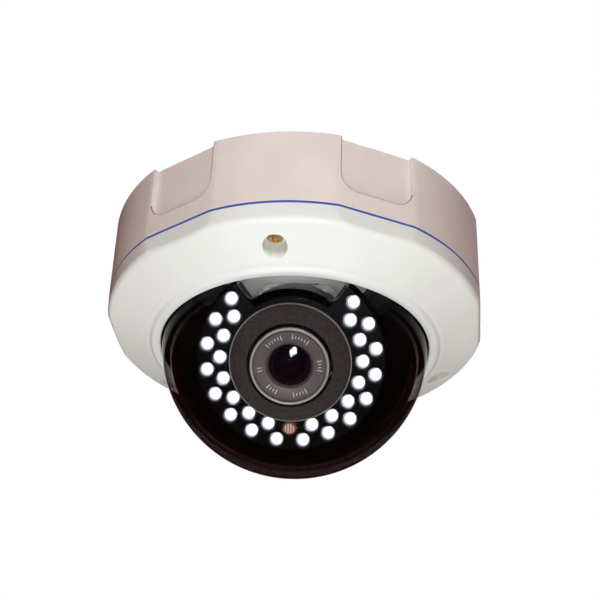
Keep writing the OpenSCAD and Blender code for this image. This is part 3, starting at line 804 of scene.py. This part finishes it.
lamp = turned([(0, 21.4), (2.5, 21.4), (2.5, 27.7)] + arc(2.5, 27.7, 9, 90, 9)[:-1] + [(0, 30.2)], 28)
smooth(lamp, 50)
spots = [spot(inner_row, pitch * i) for i in range(-7, 8) if i]
spots += [spot(outer_row, pitch * i + pitch / 2) for i in range(-8, 8)]
lamps = copies(lamp, [head_place @ place for place in spots])
lamp_resin = Finish("clear lamp resin", roughness=0.08, emission_strength=1.0)
# Painted highlight: where a tip faces this fixed direction it is lighter and glows white. Elsewhere it glows
# a dim blue-grey crescent.
painted_flash_direction = tuple((head_place.to_3x3() @ Vector((0.26, 0.56, 1))).normalized())
toward_painted_flash = lamp_resin.node("ShaderNodeVectorMath", {"operation": "DOT_PRODUCT"}, {
    0: lamp_resin.place("Normal"), 1: painted_flash_direction}, 1)
lamp_resin.set(
    base_color=lamp_resin.mix(toward_painted_flash.step(0.2, 0.6), (0.22, 0.23, 0.26), (0.9, 0.92, 0.97)),
    emission_color=lamp_resin.mix(toward_painted_flash.step(0.52, 0.56), (0.36, 0.39, 0.50), (1.7, 1.72, 1.8)))
fitted(coat(lamps, lamp_resin), "infrared_lamps", "camera_head", "lamp_resin", "led_lamps")


# ---- Light sensor ---------------------------------------------------------
# A round ceramic cell with a winding track under clear resin. It stands among
# the inner row of lamps, in the gap at the foot of the ring.

cell = turned([(0, 21.4), (2.4, 21.4), (2.4, 28.8, 0.25), (2.05, 29.2, 0.2), (0, 29.2)], 40)
cell_place = head_place @ spot(inner_row, 0)
moved(cell, cell_place)
smooth(cell, 40)
# The cell is given a faint emission of its own colours: a painted glow.
amber = Finish("resin-coated ceramic", roughness=0.15, coat_weight=0.8, emission_strength=0.25)
track = amber.node("ShaderNodeTexWave", {"bands_direction": "X", "wave_profile": "SIN"}, {
    "Vector": amber.turned_place(cell_place), "Scale": 320.0, "Distortion": 0.0})


def from_axis(finish, matrix):
    """How far each point lies from the Z axis of a turned frame, in metres."""
    level = finish.node("ShaderNodeVectorMath", {"operation": "MULTIPLY"}, {
        0: finish.turned_place(matrix), 1: (1, 1, 0)})
    return finish.node("ShaderNodeVectorMath", {"operation": "LENGTH"}, {0: level}, 1)


winding = amber.mix(track.step(0.35, 0.6), (0.42, 0.20, 0.13), (0.85, 0.66, 0.60))
tone = amber.mix(from_axis(amber, cell_place).step(1.7 * mm, 1.95 * mm), winding, (0.40, 0.16, 0.03))
amber.set(base_color=tone, emission_color=tone)
fitted(coat(cell, amber), "light_sensor_cell", "camera_head", "sensor_amber", "light_sensor")


# ---- Lamp mask ------------------------------------------------------------
# Half-gloss black plastic: a round plate with a skirt, a hole for every lamp,
# and a sector cut away at the top, where a sloped shelf leads back.

mask = turned([
    (17.2, 27.0), (33.5, 27.0), (33.5, 19.8), (34.9, 19.8), (34.9, 28.5, 0.8), (23.6, 28.5),
    (23.6, 29.1, 0.25), (17.2, 29.1)], 160)


def sector(inner, outer, low, high, half):
    """A slice of a ring, centred on +Y."""
    piece = turned([(inner, low), (outer, low), (outer, high), (inner, high)], 36, 2 * half)
    return moved(piece, turn(90 - half))


cut(mask, sector(23.65, 60, 15, 40, 35.5))
shelf = turned([
    (22.8, 28.4), (23.9, 28.4, 0.3), (26.2, 26.0, 0.3), (26.2, 25.3), (25.2, 25.3), (22.8, 27.4)], 36, 73)
weld(mask, moved(shelf, turn(90 - 36.5)))
for side in (-1, 1):
    filler = turned([(25.9, 25.4), (29.5, 25.4), (29.5, 28.4), (25.9, 28.4)], 10, 8)
    moved(filler, turn(90 - side * 32.6 - 4))
    cut(filler, moved(drum(3.5, -40, -20, 48), polar(29.7, 90 - side * 28.8)))
    weld(mask, filler)
cut(mask, copies(drum(2.95, -40, -24, 32), spots + [spot(inner_row, 0)]))
soften(mask, 0.16, 2, 34)
moved(mask, head_place)
mask_black = Finish("half-gloss black plastic", roughness=0.3, specular_ior_level=0.25)
mask_black.set(
    base_color=mask_black.mix(mask_black.noise(150, 3), (0.0015, 0.0015, 0.0015), (0.004, 0.004, 0.0035)),
    roughness=0.26 + 0.16 * mask_black.noise(600))
mask_black.bump(mask_black.noise(2200, 2), 0.12, 0.03)
fitted(coat(mask, mask_black), "lamp_mask", "camera_head", "gloss_black", "led_mask")


# ---- Light shield ---------------------------------------------------------
# A soft charcoal rubber ring that keeps stray lamp light off the lens. Its
# face is crowned, and a thin light grey ring round its foot is a painted highlight along that edge.

shield = turned(
    [(15.6, 29.1), (22.05, 29.1), (22.05, 32.3, 0.25)]
    + [(r, sqrt(39.22 ** 2 - r * r)) for r in (21.6, 20.8, 20, 19, 18, 17, 16.3)] + [(15.6, 35.98, 0.3)], 160)
moved(smooth(shield, 35), head_place)
charcoal = Finish("charcoal rubber", roughness=0.85, specular_ior_level=0.25)
grain = charcoal.noise(900, 4, 0.65)
charcoal.set(base_color=charcoal.mix(grain.step(0.35, 0.65), (0.045, 0.040, 0.038), (0.070, 0.063, 0.058)))
charcoal.bump(grain, 0.35, 0.06)
fitted(coat(shield, charcoal), "light_shield_ring", "camera_head", "black_rubber", "light_shield")

# A thin light grey ring at the shield's foot: a painted highlight along the edge.
highlight_ring = turned([(21.9, 31.7), (22.35, 31.7, 0.1), (22.35, 32.25, 0.2), (21.9, 32.45, 0.12)], 160)
moved(smooth(highlight_ring, 40), head_place)
shield_highlight_grey = Finish("painted highlight grey", roughness=0.3)
shield_highlight_grey.set(base_color=shield_highlight_grey.mix(shield_highlight_grey.noise(200), (0.30, 0.30, 0.29), (0.40, 0.39, 0.38)))
fitted(coat(highlight_ring, shield_highlight_grey), "light_shield_edge", "camera_head", "black_rubber")


# ---- Lens body ------------------------------------------------------------
# A varifocal lens: a fixed black-anodised tube, two ribbed rings that turn on
# it, each with a lock screw, and a front barrel that turns with the focus ring.

anodised = Finish("black anodised aluminium", metallic=0.6, roughness=0.4)
anodised.set(base_color=anodised.mix(anodised.noise(300, 3), (0.012, 0.012, 0.013), (0.03, 0.03, 0.032)),
             roughness=0.32 + 0.15 * anodised.noise(800))
anodised.bump(anodised.noise(2400, 2), 0.15, 0.03)
for node, name, body in (
    ("lens_barrel", "lens_tube", "camera_head"),
    ("zoom_ring", "zoom_grip", "zoom_stage"),
    ("focus_ring", "focus_grip_and_barrel", "focus_stage"),
):
    rounded_copy(node, 0.12, name, body, "lens_black", anodised)


# ---- Lens front -----------------------------------------------------------
# The grey anodised trim ring: a bright turned rim, a dark groove, and a
# slightly dished face that carries plain white setting marks.

rim = turned([
    (7.7, 33.5), (7.8, 35.3, 0.1), (8.6, 36.25, 0.15), (12.85, 36.7, 0.08), (12.95, 36.2), (13.3, 36.2),
    (13.4, 37.15, 0.12), (13.75, 37.4, 0.15), (14.15, 37.4, 0.15), (14.35, 37.1, 0.1), (14.35, 36.0),
    (12.4, 36.0), (12.4, 33.5)], 160)
moved(smooth(rim, 28), head_place)
rim_grey = Finish("grey anodised trim", metallic=0.35, roughness=0.35)
across = from_axis(rim_grey, head_place)
bright = across.step(13.3 * mm, 13.45 * mm)
rim_grey.set(base_color=rim_grey.mix(bright, (0.17, 0.155, 0.15), (0.62, 0.61, 0.61)),
             roughness=0.34 + 0.14 * rim_grey.noise(900))
turning_lines = across.math("SINE", across * 16000)
rim_grey.bump(turning_lines * 0.5 + rim_grey.noise(1800), 0.1, 0.03)
fitted(coat(rim, rim_grey), "lens_trim_ring", "focus_stage", "rim_metal", "lens_rim")

marks = []
on_face = Matrix.Translation((10.9 * mm, 0, 36.32 * mm)) @ Matrix.Rotation(radians(-6), 4, "Y")
for centre, count in ((123, 6), (70, 6), (2, 4), (-69, 5), (-125, 4), (189, 2)):
    for i in range(count):
        half_length = 0.95 if i in (0, count - 1) else 0.55
        mark = block((-half_length, -0.2, 0), (half_length, 0.2, 0.25))
        marks.append(moved(mark, turn(centre + (i - (count - 1) / 2) * 6.2) @ on_face))
marks = soften(moved(joined(marks), head_place), 0.03, 1, 40)
white_ink = Finish("white ink", roughness=0.5)
white_ink.set(base_color=white_ink.mix(white_ink.noise(1500), (0.62, 0.61, 0.60), (0.85, 0.84, 0.83)))
fitted(coat(marks, white_ink), "lens_setting_marks", "focus_stage", "white_plastic")


# ---- Lens glass -----------------------------------------------------------
# A coated convex front element over a blackened bore, with a second coated
# element behind it that gives the deeper, coloured glint.

front = turned(
    [(0, 34.6), (7.65, 34.6)] + [(r, 21.4 + sqrt(15.6 ** 2 - r * r)) for r in (7.65, 7, 6, 5, 4, 3, 2, 1)]
    + [(0, 37.0)], 96)
moved(smooth(front, 40), head_place)
front_coating = Finish("coated optical glass", base_color=(0.01, 0.008, 0.014), roughness=0.02, ior=2.4,
                       thin_film_thickness=520.0, thin_film_ior=1.38)
edge_on = front_coating.node("ShaderNodeLayerWeight", {}, {"Blend": 0.45}, 1)
front_coating.set(alpha=0.30 + 0.5 * edge_on ** 2.5)
fitted(coat(front, front_coating), "front_element", "focus_stage", "coated_glass", "front_glass")

second = turned(
    [(0, 26.0), (6.0, 26.0)] + [(r, 23.0 + sqrt(9.0 ** 2 - r * r)) for r in (6.0, 5.3, 4.5, 3.5, 2.5, 1.2)]
    + [(0, 32.0)], 96)
moved(smooth(second, 40), head_place @ Matrix.Translation((-0.35 * mm, -0.9 * mm, 0)))
magenta = Finish("magenta lens coating", roughness=0.06, metallic=1.0, ior=1.8)
magenta.set(base_color=magenta.mix(magenta.noise(90), (0.24, 0.006, 0.09), (0.30, 0.010, 0.12)))
fitted(coat(second, magenta), "second_element", "focus_stage", "coated_glass")

bore = turned([
    (7.65, 34.5), (7.65, 26.0), (6.3, 26.0), (6.3, 28.5), (6.9, 28.5), (6.9, 31), (7.2, 31), (7.2, 34.5)], 96)
moved(smooth(bore, 30), head_place)
fitted(coat(bore, anodised), "lens_bore_rings", "focus_stage", "lens_black")
